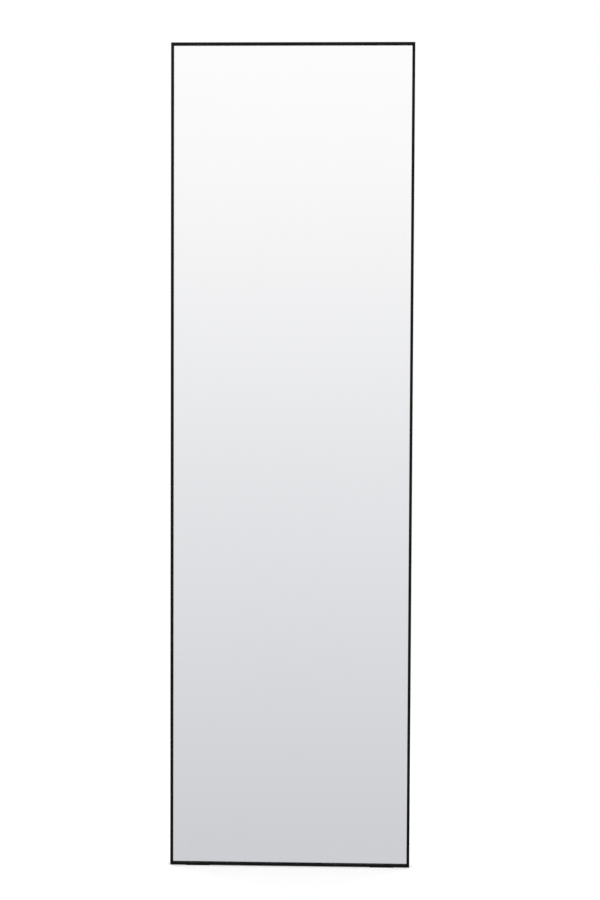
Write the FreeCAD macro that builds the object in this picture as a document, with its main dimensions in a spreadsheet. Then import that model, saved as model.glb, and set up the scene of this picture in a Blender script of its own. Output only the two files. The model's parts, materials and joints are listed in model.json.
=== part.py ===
import FreeCAD, Part

import os
import re

import Sketcher

# A leaning floor mirror: a slim mitred aluminium frame round a sheet of mirror glass.
# Frame of the model, in millimetres: +X to the right seen from the front, the glass faces -Y,
# +Z up, origin at the bottom centre of the whole mirror's box.
# Inside a rail, u runs from its outer edge towards the glass, and v from its front face backwards.

vector = FreeCAD.Vector
rotation = FreeCAD.Rotation

# Driving sizes: name, value in millimetres (or a count), what it is.
size_table = [
    ("frame_width", 610, "outside of the frame, left to right"),
    ("frame_height", 2080, "outside of the frame, bottom to top, without the feet"),
    ("frame_depth", 30, "front face to back face of the frame section"),
    ("face_width", 7, "the narrow black edge seen from the front"),
    ("lip_thickness", 1.6, "front lip that holds the glass in"),
    ("outer_wall", 1.5, "side wall of the section, and the inner wall of its rear slot"),
    ("channel_width", 15, "rear slot channel, from the outer edge inwards"),
    ("web_thickness", 1.4, "web between the glass rebate and the rear slot"),
    ("slot_height", 4.2, "clear height inside the rear slot"),
    ("slot_opening", 7, "mouth of the rear slot"),
    ("rear_lip", 1.4, "lips beside the slot's mouth"),
    ("edge_radius", 0.5, "rounding of the section's long outside edges"),
    ("mitre_gap", 0.05, "each mitred end stands back this far from the mitre line"),
    ("tape_thickness", 0.6, "glazing tape between lip and glass"),
    ("tape_width", 4, "glazing tape"),
    ("tape_inset", 0.4, "tape to the outer wall"),
    ("glass_thickness", 4, "float glass"),
    ("coating_thickness", 0.1, "silver and its backing paint"),
    ("film_thickness", 0.2, "safety film"),
    ("board_thickness", 6, "backing board"),
    ("glass_edge_gap", 2, "glass edge to the outer wall, filled by blocks and spacers"),
    ("block_length", 30, "setting blocks and edge spacers"),
    ("clip_length", 60, "bow spring clip"),
    ("clip_width", 9, "bow spring clip"),
    ("clip_gauge", 0.5, "bow spring clip's steel"),
    ("clip_seat", 0.05, "clip to the board, and clip to the web"),
    ("clips_per_stile", 5, "count"),
    ("clips_per_rail", 2, "count"),
    ("corner_leg", 42, "corner plate's leg, from the frame's outer corner"),
    ("corner_plate_gauge", 2.5, "threaded corner plate"),
    ("corner_shim_gauge", 1, "shim under the corner plate"),
    ("slot_side_gap", 0.3, "corner plates and slot nuts to the slot's side walls"),
    ("corner_screw_near", 19, "first set screw, from the frame's outer corner"),
    ("corner_screw_pitch", 15, "first to second set screw on one leg"),
    ("set_screw_diameter", 5, "corner set screw"),
    ("set_screw_length", 4, "corner set screw"),
    ("thread_gap", 0.05, "screw to its threaded hole, on the radius"),
    ("screw_diameter", 4, "all the screws on the back"),
    ("screw_hole_gap", 0.25, "screw to its clearance hole, on the radius"),
    ("head_diameter", 8, "pan head"),
    ("head_height", 2.6, "pan head"),
    ("head_rounding", 1.2, "pan head's rim"),
    ("socket_depth", 1.6, "hexagon socket in a screw"),
    ("socket_flats", 2.5, "hexagon socket across its flats"),
    ("rail_screw_length", 6, "cross rail to slot nut"),
    ("strap_screw_length", 8, "hanger strap to its nut"),
    ("foot_screw_length", 8, "floor foot to slot nut"),
    ("bumper_screw_length", 12, "wall bumper to slot nut"),
    ("slot_nut_length", 10, "slot nut along the slot"),
    ("slot_nut_height", 2.6, "slot nut"),
    ("washer_diameter", 9, "under the bumper and foot screws"),
    ("washer_thickness", 0.8, "under the bumper and foot screws"),
    ("nut_flats", 7, "hexagon nut across its flats"),
    ("nut_height", 3.2, "hexagon nut"),
    ("cross_rail_height", 56, "folded cross rail's web"),
    ("cross_rail_gauge", 1.5, "folded cross rail's steel"),
    ("cross_rail_flange", 12, "folded flange, over its bend"),
    ("cross_rail_bend", 1, "inside radius of the fold"),
    ("cross_rail_side_gap", 1.5, "flange end to the stile"),
    ("tab_height", 48, "flat end of the cross rail, over the stile"),
    ("tab_inset", 2, "tab end to the frame's outer edge"),
    ("tab_corner", 3, "rounding of the tab's corners"),
    ("tab_screw_pitch", 32, "the two screws in one tab"),
    ("hanger_spacing", 400, "left D-ring to right D-ring"),
    ("eye_height", 21, "D-ring's eye above the middle of the upper cross rail"),
    ("strap_width", 14, "hanger strap"),
    ("strap_gauge", 1.5, "hanger strap"),
    ("strap_length", 44, "hanger strap below the eye's centre"),
    ("strap_corner", 5, "rounding of the strap's lower corners"),
    ("strap_first_screw", 24, "first screw below the eye"),
    ("strap_screw_pitch", 13, "first to second screw in a strap"),
    ("curl_opening", 0.8, "rolled end to the strap's flat"),
    ("ring_wire", 3.2, "D-ring wire diameter"),
    ("ring_gap", 0.3, "ring wire to its eye, on the radius"),
    ("ring_inner_width", 20, "D-ring, inside"),
    ("ring_bend", 3, "D-ring's two tight corners, on the wire's centre line"),
    ("ring_leg", 6, "D-ring's bar to the start of its round end"),
    ("bumper_height", 12, "wall bumper, which sets the mirror off the wall"),
    ("bumper_diameter", 14.5, "wall bumper at the frame"),
    ("bumper_taper", 0.75, "how much its radius falls towards the wall"),
    ("bumper_rounding", 0.6, "wall bumper's rim"),
    ("counterbore_depth", 5, "screw pocket in the bumper"),
    ("counterbore_gap", 0.1, "washer to its pocket, on the radius"),
    ("bumper_offset", 55, "bumper's middle, from the frame's top or bottom edge"),
    ("sole_thickness", 1.5, "rubber under the frame"),
    ("sole_setback", 1, "sole's front edge behind the frame's face"),
    ("foot_length", 60, "floor foot, left to right"),
    ("foot_offset", 70, "foot's middle, from the frame's side, clear of the corner screws"),
    ("foot_wall", 3, "foot's upright behind the frame"),
    ("foot_height", 16, "foot's upright above the frame's underside"),
    ("heel_rounding", 2.5, "foot's rear bottom edge, on which the mirror leans"),
    ("foot_rounding", 1.2, "foot's top rear edge"),
]

# Places that follow from the driving sizes. Each is a formula in the names above and below.
follows = {
    # along y, from the front face backwards
    "front_y": "-(frame_depth + bumper_height) / 2",
    "web_front": "frame_depth - rear_lip - slot_height - web_thickness",
    "web_back": "web_front + web_thickness",
    "slot_rear": "frame_depth - rear_lip",
    "glass_front": "lip_thickness + tape_thickness",
    "glass_back": "glass_front + glass_thickness",
    "coating_back": "glass_back + coating_thickness",
    "film_back": "coating_back + film_thickness",
    "board_back": "film_back + board_thickness",
    "strap_front": "frame_depth + cross_rail_gauge",
    # across a rail, from its outer edge inwards
    "slot_middle": "channel_width / 2",
    "glass_edge": "outer_wall + glass_edge_gap",
    "clip_middle": "(glass_edge + channel_width) / 2",
    "slot_part_width": "channel_width - 2 * outer_wall - 2 * slot_side_gap",
    # across and up the whole mirror
    "half_width": "frame_width / 2",
    "frame_top": "sole_thickness + frame_height",
    "glass_width": "frame_width - 2 * glass_edge",
    "glass_height": "frame_height - 2 * glass_edge",
    "upper_rail_z": "sole_thickness + frame_height * 3 / 4",
    "lower_rail_z": "sole_thickness + frame_height / 4",
    # the D-rings
    "eye_bore": "ring_wire / 2 + ring_gap",
    "eye_outer": "eye_bore + strap_gauge",
    "eye_v": "strap_front + eye_outer",
    "eye_z": "upper_rail_z + eye_height",
    "ring_half": "ring_inner_width / 2 + ring_wire / 2",
    # the bow spring clips
    "clip_rise": "web_front - board_back - 2 * clip_seat",
    "clip_radius": "(clip_length * clip_length / 4 + clip_rise * clip_rise) / (2 * clip_rise)",
}

# Which way the pieces that screw on from behind point: their own +Z goes to +Y.
to_rear = rotation(vector(1, 0, 0), -90)
to_rear_upright = rotation(vector(1, 1, 1), 240)
to_rear_turned = rotation(vector(0, 1, 0), 90) * to_rear
along_x = rotation(vector(0, 1, 0), 90)
ring_plane = rotation(vector(1, 0, 0), 90)
overcut = "1"

doc = FreeCAD.newDocument("floor_mirror")
sheet = doc.addObject("Spreadsheet::Sheet", "sizes")
for row, (alias, number, note) in enumerate(size_table, start=1):
    sheet.set(f"A{row}", alias)
    sheet.set(f"B{row}", str(number))
    sheet.set(f"C{row}", note)
    sheet.setAlias(f"B{row}", alias)
doc.recompute()
size_names = {alias for alias, number, note in size_table}
nodes = []


# ---- helpers: formulas, bindings and sketches ----

def formula(text):
    """Write a formula in plain size names as one in the sheet's cells."""
    def cell(match):
        word = match.group(0)
        if word in follows:
            return f"({formula(follows[word])})"
        return f"sizes.{word}" if word in size_names else word
    return re.sub(r"[a-z_]+", cell, str(text))


def amount(text):
    return float(sheet.evalExpression(formula(text)))


def bind(thing, **formulas):
    """Bind properties, such as Length or Base_x (the Placement's), to formulas."""
    for name, text in formulas.items():
        path = name.replace("Base_", "Placement.Base.")
        thing.setExpression(path, formula(text))
    return thing


def place(thing, x="0", v="0", z="0", turn=None):
    """Put a thing at x and z, and at v behind the mirror's front face."""
    if turn:
        thing.Placement = FreeCAD.Placement(vector(), turn)
    return bind(thing, Base_x=x, Base_y=f"front_y + {v}", Base_z=z)


def keep(thing, label):
    """Mark a finished thing as a sub-part of the mirror."""
    thing.Label = label
    nodes.append(thing)
    return thing


def sketch_on(body, name, role):
    sketch = body.newObject("Sketcher::SketchObject", name)
    plane = next(f for f in body.Origin.OriginFeatures if f.Role == role)
    sketch.AttachmentSupport = [(plane, "")]
    sketch.MapMode = "FlatFace"
    return sketch


def tie(sketch, kind, text, *where):
    """Add a dimension to a sketch and bind it to a formula."""
    number = sketch.addConstraint(Sketcher.Constraint(kind, *where, amount(text)))
    sketch.setExpression(f"Constraints[{number}]", formula(text))


def outline(sketch, corners):
    """Draw one closed outline of straight edges through corners given as pairs of formulas."""
    points = [vector(amount(x), amount(y), 0) for x, y in corners]
    first = sketch.GeometryCount
    last = first + len(points) - 1
    for here, there in zip(points, points[1:] + points[:1]):
        sketch.addGeometry(Part.LineSegment(here, there), False)
    for edge in range(first, last + 1):
        following = first if edge == last else edge + 1
        sketch.addConstraint(Sketcher.Constraint("Coincident", edge, 2, following, 1))
    for edge, (x, y) in enumerate(corners, start=first):
        tie(sketch, "DistanceX", x, -1, 1, edge, 1)
        tie(sketch, "DistanceY", y, -1, 1, edge, 1)
    return sketch


def circle(sketch, x, y, radius):
    """Draw one circle whose centre and radius are formulas."""
    centre = vector(amount(x), amount(y), 0)
    ring = sketch.addGeometry(Part.Circle(centre, vector(0, 0, 1), amount(radius)), False)
    tie(sketch, "Radius", radius, ring)
    tie(sketch, "DistanceX", x, -1, 1, ring, 3)
    tie(sketch, "DistanceY", y, -1, 1, ring, 3)
    return sketch


def pad(body, sketch, length, side="Symmetric", backwards=False):
    feature = body.newObject("PartDesign::Pad", "pad")
    feature.Profile = sketch
    feature.SideType = side
    feature.Reversed = backwards
    bind(feature, Length=length)
    doc.recompute()
    return feature


def pocket(body, sketch):
    """Cut a sketch through everything, both ways."""
    before = body.Shape.Volume
    feature = body.newObject("PartDesign::Pocket", "pocket")
    feature.Profile = sketch
    feature.Type = "ThroughAll"
    feature.SideType = "Symmetric"
    doc.recompute()
    if body.Shape.Volume >= before:
        raise RuntimeError(f"{sketch.Name} cuts nothing")
    return feature


def rounded(body, base, radius, wanted):
    """Round the edges whose middle point passes the test."""
    edges = []
    for number, edge in enumerate(base.Shape.Edges, start=1):
        middle = edge.valueAt((edge.FirstParameter + edge.LastParameter) / 2)
        if wanted(middle):
            edges.append(f"Edge{number}")
    feature = body.newObject("PartDesign::Fillet", "rounding")
    feature.Base = (base, edges)
    bind(feature, Radius=radius)
    doc.recompute()
    return feature


def same(a, b):
    return abs(a - b) < 1e-4


def box(name, length, width, height):
    return bind(doc.addObject("Part::Box", name), Length=length, Width=width, Height=height)


def cylinder(name, radius, height):
    return bind(doc.addObject("Part::Cylinder", name), Radius=radius, Height=height)


def cut(name, base, *tools):
    """Cut the tools from the base, one after another."""
    for tool in tools:
        result = doc.addObject("Part::Cut", f"{name}_cut")
        result.Base = base
        result.Tool = tool
        base = result
    return base


def fuse(name, *pieces):
    result = doc.addObject("Part::MultiFuse", name)
    result.Shapes = list(pieces)
    return result


def group(label, pattern, places):
    """One node of identical pieces: a copy of the pattern at each (x, v, z, turn)."""
    copies = []
    for x, v, z, turn in places:
        copy = doc.addObject("App::Link", f"{label}_copy")
        copy.LinkedObject = pattern
        copies.append(place(copy, x, v, z, turn))
    whole = doc.addObject("Part::Compound", label)
    whole.Links = copies
    return keep(whole, label)


# ---- the frame: four mitred lengths of one section ----

def section_corners(turn_point):
    """The section's outline, with turn_point(u, v) putting each corner on its sketch."""
    slot_near = "slot_middle - slot_opening / 2"
    slot_far = "slot_middle + slot_opening / 2"
    inner_side = "channel_width - outer_wall"
    corners = [
        ("0", "0"),
        ("face_width", "0"),
        ("face_width", "lip_thickness"),
        ("outer_wall", "lip_thickness"),
        ("outer_wall", "web_front"),
        ("channel_width", "web_front"),
        ("channel_width", "frame_depth"),
        (slot_far, "frame_depth"),
        (slot_far, "slot_rear"),
        (inner_side, "slot_rear"),
        (inner_side, "web_back"),
        ("outer_wall", "web_back"),
        ("outer_wall", "slot_rear"),
        (slot_near, "slot_rear"),
        (slot_near, "frame_depth"),
        ("0", "frame_depth"),
    ]
    return [turn_point(u, v) for u, v in corners]


def outside_edge(u, v):
    """Whether a point lies on one of the section's long outside edges."""
    at_front = same(v, 0) and (same(u, 0) or same(u, amount("face_width")))
    at_back = same(v, amount("frame_depth")) and (same(u, 0) or same(u, amount("channel_width")))
    return at_front or at_back


def stile(label, side):
    """An upright. side is -1 on the left and 1 on the right."""
    inward = -side
    body = doc.addObject("PartDesign::Body", label)
    section = sketch_on(body, "section", "XY_Plane")
    outline(section, section_corners(lambda u, v: (f"{inward} * ({u})", v)))
    bar = pad(body, section, "frame_height", side="One side")
    rounded(body, bar, "edge_radius", lambda at: outside_edge(at.x * inward, at.y)
            and same(at.z, amount("frame_height / 2")))
    mitres = sketch_on(body, "mitres", "XZ_Plane")
    near = f"{inward} * (-{overcut})"
    far = f"{inward} * (channel_width + {overcut})"
    low, high = f"mitre_gap - {overcut}", f"mitre_gap + channel_width + {overcut}"
    outline(mitres, [(near, f"-{overcut}"), (far, f"-{overcut}"), (far, high), (near, low)])
    outline(mitres, [(near, f"frame_height + {overcut}"), (far, f"frame_height + {overcut}"),
                     (far, f"frame_height - ({high})"), (near, f"frame_height - ({low})")])
    pocket(body, mitres)
    place(body, f"{side} * half_width", "0", "sole_thickness")
    return keep(body, label)


def rail(label, end):
    """A cross piece of the frame. end is -1 at the bottom and 1 at the top."""
    inward = -end
    body = doc.addObject("PartDesign::Body", label)
    section = sketch_on(body, "section", "YZ_Plane")
    outline(section, section_corners(lambda u, v: (v, f"{inward} * ({u})")))
    bar = pad(body, section, "frame_width")
    rounded(body, bar, "edge_radius", lambda at: outside_edge(at.z * inward, at.y)
            and same(at.x, 0))
    mitres = sketch_on(body, "mitres", "XZ_Plane")
    near = f"{inward} * (-{overcut})"
    far = f"{inward} * (channel_width + {overcut})"
    for side in (-1, 1):
        edge = f"{side} * (half_width + {overcut})"
        low = f"{side} * (half_width - mitre_gap + {overcut})"
        high = f"{side} * (half_width - mitre_gap - channel_width - {overcut})"
        outline(mitres, [(edge, near), (edge, far), (high, far), (low, near)])
    pocket(body, mitres)
    place(body, "0", "0", "frame_top" if end > 0 else "sole_thickness")
    return keep(body, label)


# ---- the corners: plate, shim and set screws in the rear slot ----

corner_screws = ["corner_screw_near", "corner_screw_near + corner_screw_pitch"]
frame_corners = [("top_left", -1, 1), ("top_right", 1, 1),
                 ("bottom_left", -1, -1), ("bottom_right", 1, -1)]


def corner_z(end, distance):
    """The height of a point some distance in from the frame's top (1) or bottom (-1) edge."""
    return f"frame_top - ({distance})" if end > 0 else f"sole_thickness + ({distance})"


def angle_piece(label, side, end, gauge, rear, screw_holes):
    """A flat angle in the slots of two rails, with its rear face at v = rear."""
    body = doc.addObject("PartDesign::Body", label)
    outer = "outer_wall + slot_side_gap"
    inner = "channel_width - outer_wall - slot_side_gap"
    legs = [(outer, outer), ("corner_leg", outer), ("corner_leg", inner),
            (inner, inner), (inner, "corner_leg"), (outer, "corner_leg")]
    shape = sketch_on(body, "angle", "XZ_Plane")
    outline(shape, [(f"{-side} * ({x})", f"{-end} * ({z})") for x, z in legs])
    pad(body, shape, gauge, side="One side")
    if screw_holes:
        drilled = sketch_on(body, "threads", "XZ_Plane")
        for distance in corner_screws:
            for x, z in ((distance, "slot_middle"), ("slot_middle", distance)):
                circle(drilled, f"{-side} * ({x})", f"{-end} * ({z})",
                       "set_screw_diameter / 2 + thread_gap")
        pocket(body, drilled)
    place(body, f"{side} * half_width", rear, corner_z(end, "0"))
    return keep(body, label)


def hexagon(name, flats, height):
    """A hexagonal prism measured across its flats."""
    prism = doc.addObject("Part::Prism", name)
    prism.Polygon = 6
    return bind(prism, Circumradius=f"{flats} / sqrt(3)", Height=height)


def corner_hardware():
    for name, side, end in frame_corners:
        angle_piece(f"corner_plate_{name}", side, end, "corner_plate_gauge", "slot_rear", True)
        angle_piece(f"corner_shim_{name}", side, end, "corner_shim_gauge",
                    "web_back + corner_shim_gauge", False)
    shank = cylinder("set_screw_shank", "set_screw_diameter / 2", "set_screw_length")
    socket = bind(hexagon("set_screw_socket", "socket_flats", "socket_depth"),
                  Base_z="set_screw_length - socket_depth")
    screw = cut("set_screw", shank, socket)
    places = []
    for name, side, end in frame_corners:
        for distance in corner_screws:
            for x, z in ((distance, "slot_middle"), ("slot_middle", distance)):
                places.append((f"{side} * (half_width - ({x}))", "web_back + corner_shim_gauge",
                               corner_z(end, z), to_rear))
    group("corner_set_screws", screw, places)


# ---- what the frame holds: glass, its coating and film, board, tape, blocks and clips ----

def panel(label, front, thickness):
    """A sheet as large as the glass, with its front face at v = front."""
    sheet_box = box(label, "glass_width", thickness, "glass_height")
    place(sheet_box, "-glass_width / 2", front, "sole_thickness + glass_edge")
    return keep(sheet_box, label)


def glazing_tape():
    edge = "outer_wall + tape_inset"
    long_side = f"frame_width - 2 * ({edge})"
    upright = f"frame_height - 2 * ({edge} + tape_width)"
    for label, z in (("glazing_tape_bottom", f"sole_thickness + {edge}"),
                     ("glazing_tape_top", f"frame_top - ({edge}) - tape_width")):
        strip = box(label, long_side, "tape_thickness", "tape_width")
        keep(place(strip, f"-({long_side}) / 2", "lip_thickness", z), label)
    for label, x in (("glazing_tape_left", f"{edge} - half_width"),
                     ("glazing_tape_right", f"half_width - ({edge}) - tape_width")):
        strip = box(label, "tape_width", "tape_thickness", upright)
        keep(place(strip, x, "lip_thickness", f"sole_thickness + {edge} + tape_width"), label)


def setting_blocks():
    """The glass and board stand on two blocks, a quarter of the width in from each side."""
    for label, side in (("setting_block_left", -1), ("setting_block_right", 1)):
        block = box(label, "block_length", "board_back - glass_front", "glass_edge_gap")
        place(block, f"{side} * frame_width / 4 - block_length / 2", "glass_front",
              "sole_thickness + outer_wall")
        keep(block, label)


def edge_spacers():
    """Two spacers above the glass and two at each side keep it centred."""
    depth = "board_back - glass_front"
    flat = box("spacer_flat", "block_length", depth, "glass_edge_gap")
    upright = box("spacer_upright", "glass_edge_gap", depth, "block_length")
    copies = []
    for side in (-1, 1):
        copy = doc.addObject("App::Link", "top_spacer")
        copy.LinkedObject = flat
        copies.append(place(copy, f"{side} * frame_width / 4 - block_length / 2", "glass_front",
                            "frame_top - glass_edge"))
        x = "outer_wall - half_width" if side < 0 else "half_width - glass_edge"
        for share in ("1 / 4", "3 / 4"):
            copy = doc.addObject("App::Link", "side_spacer")
            copy.LinkedObject = upright
            copies.append(place(copy, x, "glass_front",
                                f"sole_thickness + frame_height * {share} - block_length / 2"))
    whole = doc.addObject("Part::Compound", "edge_spacers")
    whole.Links = copies
    return keep(whole, "edge_spacers")


def spring_clips():
    """Bows of spring steel between the board and the web. A clip's own +Z is its rise."""
    across = rotation(vector(1, 0, 0), 90)
    outer = cylinder("bow_outside", "clip_radius", "clip_width")
    inner = cylinder("bow_inside", "clip_radius - clip_gauge", "clip_width + 2")
    for round_part, y in ((outer, "clip_width / 2"), (inner, "clip_width / 2 + 1")):
        round_part.Placement = FreeCAD.Placement(vector(), across)
        bind(round_part, Base_y=y, Base_z="clip_rise - clip_radius")
    hoop = cut("bow_hoop", outer, inner)
    slab = bind(box("bow_slab", "clip_length + 2", "clip_width + 2", "clip_rise + 1"),
                Base_x="-clip_length / 2 - 1", Base_y="-clip_width / 2 - 1")
    bow = doc.addObject("Part::Common", "bow")
    bow.Base = hoop
    bow.Tool = slab
    seat = "board_back + clip_seat"
    places = []
    upright_count = int(amount("clips_per_stile"))
    for number in range(1, upright_count + 1):
        z = f"sole_thickness + frame_height * {number} / (clips_per_stile + 1)"
        for side in (-1, 1):
            places.append((f"{side} * (half_width - clip_middle)", seat, z, to_rear_upright))
    level_count = int(amount("clips_per_rail"))
    for number in range(1, level_count + 1):
        x = f"frame_width * {number} / (clips_per_rail + 1) - half_width"
        for end in (-1, 1):
            places.append((x, seat, corner_z(end, "clip_middle"), to_rear))
    group("spring_clips", bow, places)


# ---- screws, washers and nuts ----

def pan_screw(name, length):
    """A pan-head screw along its own Z, with the underside of its head at z = 0."""
    shank = bind(cylinder(f"{name}_shank", "screw_diameter / 2", f"{length} + head_height / 2"),
                 Base_z=f"-({length})")
    head = cylinder(f"{name}_head", "head_diameter / 2", "head_height")
    blank = fuse(f"{name}_blank", shank, head)
    doc.recompute()
    rim = []
    for number, edge in enumerate(blank.Shape.Edges, start=1):
        bounds = edge.BoundBox
        if same(bounds.ZMin, amount("head_height")) and same(bounds.ZMax, bounds.ZMin):
            radius = amount("head_rounding")
            rim.append((number, radius, radius))
    soft = doc.addObject("Part::Fillet", f"{name}_soft")
    soft.Base = blank
    soft.Edges = rim
    socket = bind(hexagon(f"{name}_socket", "socket_flats", "socket_depth + 1"),
                  Base_z="head_height - socket_depth")
    return cut(name, soft, socket)


def slot_nut_pattern():
    """A flat nut that fills the rear slot's width, its rear face at z = 0."""
    block = bind(box("slot_nut_block", "slot_part_width", "slot_nut_length", "slot_nut_height"),
                 Base_x="-slot_part_width / 2", Base_y="-slot_nut_length / 2",
                 Base_z="-slot_nut_height")
    thread = bind(cylinder("slot_nut_thread", "screw_diameter / 2 + thread_gap",
                           "slot_nut_height + 2"), Base_z="-slot_nut_height - 1")
    return cut("slot_nut", block, thread)


def washer_pattern():
    """A plain washer, its front face at z = 0."""
    disc = cylinder("washer_disc", "washer_diameter / 2", "washer_thickness")
    hole = bind(cylinder("washer_hole", "screw_diameter / 2 + screw_hole_gap",
                         "washer_thickness + 2"), Base_z="-1")
    return cut("washer", disc, hole)


def hexagon_nut_pattern():
    """A hexagon nut whose rear face is at z = 0."""
    blank = bind(hexagon("nut_blank", "nut_flats", "nut_height"), Base_z="-nut_height")
    thread = bind(cylinder("nut_thread", "screw_diameter / 2 + thread_gap", "nut_height + 2"),
                  Base_z="-nut_height - 1")
    return cut("nut", blank, thread)


# ---- the cross rails ----

tab_screws = []
for middle in ("upper_rail_z", "lower_rail_z"):
    for side in (-1, 1):
        for up in (-1, 1):
            tab_screws.append((f"{side} * (half_width - slot_middle)",
                               f"{middle} + {up} * tab_screw_pitch / 2"))

strap_screws = []
for side in (-1, 1):
    for drop in ("strap_first_screw", "strap_first_screw + strap_screw_pitch"):
        strap_screws.append((f"{side} * hanger_spacing / 2", f"eye_z - ({drop})"))


def cross_rail(label, middle, with_hangers):
    """A folded channel whose flat ends lie on the backs of the stiles."""
    body = doc.addObject("PartDesign::Body", label)
    half = "cross_rail_height / 2"
    flange_end = "cross_rail_gauge - cross_rail_flange"
    fold = sketch_on(body, "fold", "YZ_Plane")
    outline(fold, [
        ("cross_rail_gauge", f"-{half}"),
        ("cross_rail_gauge", half),
        (flange_end, half),
        (flange_end, f"{half} - cross_rail_gauge"),
        ("0", f"{half} - cross_rail_gauge"),
        ("0", f"cross_rail_gauge - {half}"),
        (flange_end, f"cross_rail_gauge - {half}"),
        (flange_end, f"-{half}"),
    ])
    channel = pad(body, fold, "frame_width - 2 * (channel_width + cross_rail_side_gap)")
    gauge = amount("cross_rail_gauge")
    outside = amount(half)
    inner_bends = rounded(body, channel, "cross_rail_bend", lambda at: same(at.x, 0)
                          and same(at.y, 0) and same(abs(at.z), outside - gauge))
    bends = rounded(body, inner_bends, "cross_rail_bend + cross_rail_gauge", lambda at: same(at.x, 0)
                    and same(at.y, gauge) and same(abs(at.z), outside))
    flat = sketch_on(body, "flat", "XZ_Plane")
    outline(flat, [(f"{x} * (half_width - tab_inset)", f"{z} * tab_height / 2")
                   for x, z in ((-1, -1), (1, -1), (1, 1), (-1, 1))])
    web = pad(body, flat, "cross_rail_gauge", side="One side", backwards=True)
    tab_end = amount("half_width - tab_inset")
    rounded(body, web, "tab_corner", lambda at: same(abs(at.x), tab_end)
            and same(abs(at.z), amount("tab_height / 2")))
    drilled = sketch_on(body, "screw_holes", "XZ_Plane")
    for x, z in tab_screws:
        if z.startswith(middle):
            circle(drilled, x, f"({z}) - {middle}", "screw_diameter / 2 + screw_hole_gap")
    if with_hangers:
        for x, z in strap_screws:
            circle(drilled, x, f"({z}) - {middle}", "screw_diameter / 2 + screw_hole_gap")
    pocket(body, drilled)
    place(body, "0", "frame_depth", middle)
    return keep(body, label)


# ---- the hangers: strap and D-ring ----

def hanger_strap(label, side):
    """A flat strap rolled round the D-ring's bar. Its own origin is the eye's centre."""
    body = doc.addObject("PartDesign::Body", label)
    flat = sketch_on(body, "flat", "YZ_Plane")
    outline(flat, [("-eye_outer", "-strap_length"), ("-eye_bore", "-strap_length"),
                   ("-eye_bore", "0"), ("-eye_outer", "0")])
    plate = pad(body, flat, "strap_width")
    rounded(body, plate, "strap_corner", lambda at: same(abs(at.x), amount("strap_width / 2"))
            and same(at.z, amount("-strap_length")))
    curl = sketch_on(body, "curl", "YZ_Plane")
    circle(curl, "0", "0", "eye_outer")
    circle(curl, "0", "0", "eye_bore")
    pad(body, curl, "strap_width")
    opening = sketch_on(body, "curl_opening", "YZ_Plane")
    outline(opening, [("-eye_bore", f"-eye_outer - {overcut}"),
                      ("curl_opening - eye_bore", f"-eye_outer - {overcut}"),
                      ("curl_opening - eye_bore", "0"), ("-eye_bore", "0")])
    pocket(body, opening)
    drilled = sketch_on(body, "screw_holes", "XZ_Plane")
    for drop in ("strap_first_screw", "strap_first_screw + strap_screw_pitch"):
        circle(drilled, "0", f"-({drop})", "screw_diameter / 2 + screw_hole_gap")
    pocket(body, drilled)
    place(body, f"{side} * hanger_spacing / 2", "eye_v", "eye_z")
    return keep(body, label)


def bent_wire(name, radius, angle, start):
    """A bend of the ring's wire in the upright plane, from the start angle on."""
    bend = doc.addObject("Part::Torus", name)
    bend.Angle3 = angle
    bend.Placement = FreeCAD.Placement(vector(), ring_plane * rotation(vector(0, 0, 1), start))
    return bind(bend, Radius1=radius, Radius2="ring_wire / 2")


def d_ring(label, side):
    """A D of round wire that hangs from its straight bar, which is centred on the origin."""
    straight = "ring_half - ring_bend"
    bar = cylinder("ring_bar", "ring_wire / 2", f"2 * ({straight})")
    bar.Placement = FreeCAD.Placement(vector(), along_x)
    bind(bar, Base_x=f"-({straight})")
    pieces = [bar]
    for hand, start in ((1, 0), (-1, 90)):
        pieces.append(bind(bent_wire("ring_corner", "ring_bend", 90, start),
                           Base_x=f"{hand} * ({straight})", Base_z="-ring_bend"))
        pieces.append(bind(cylinder("ring_side", "ring_wire / 2", "ring_leg - ring_bend"),
                           Base_x=f"{hand} * ring_half", Base_z="-ring_leg"))
    pieces.append(bind(bent_wire("ring_round", "ring_half", 180, 180), Base_z="-ring_leg"))
    ring = fuse(label, *pieces)
    place(ring, f"{side} * hanger_spacing / 2", "eye_v", "eye_z")
    return keep(ring, label)


# ---- rubber: wall bumpers and floor feet ----

def wall_bumper(label, side, end):
    """A tapered rubber stud with a pocket for its screw. Its own +Z goes to the wall."""
    base = "bumper_diameter / 2"
    tip = f"{base} - bumper_taper"
    stud = bind(doc.addObject("Part::Cone", "stud"), Radius1=base, Radius2=tip,
                Height="bumper_height")
    hole = bind(cylinder("stud_hole", "screw_diameter / 2 + screw_hole_gap", "bumper_height + 2"),
                Base_z="-1")
    pocket_part = bind(cylinder("stud_pocket", "washer_diameter / 2 + counterbore_gap",
                                "counterbore_depth + 1"), Base_z="bumper_height - counterbore_depth")
    doc.recompute()
    rim = []
    for number, edge in enumerate(stud.Shape.Edges, start=1):
        bounds = edge.BoundBox
        if same(bounds.ZMin, amount("bumper_height")) and same(bounds.ZMax, bounds.ZMin):
            radius = amount("bumper_rounding")
            rim.append((number, radius, radius))
    soft = doc.addObject("Part::Fillet", "stud_soft")
    soft.Base = stud
    soft.Edges = rim
    bumper = cut(label, soft, hole, pocket_part)
    place(bumper, f"{side} * (half_width - slot_middle)", "frame_depth",
          corner_z(end, "bumper_offset"), to_rear)
    return keep(bumper, label)


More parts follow.
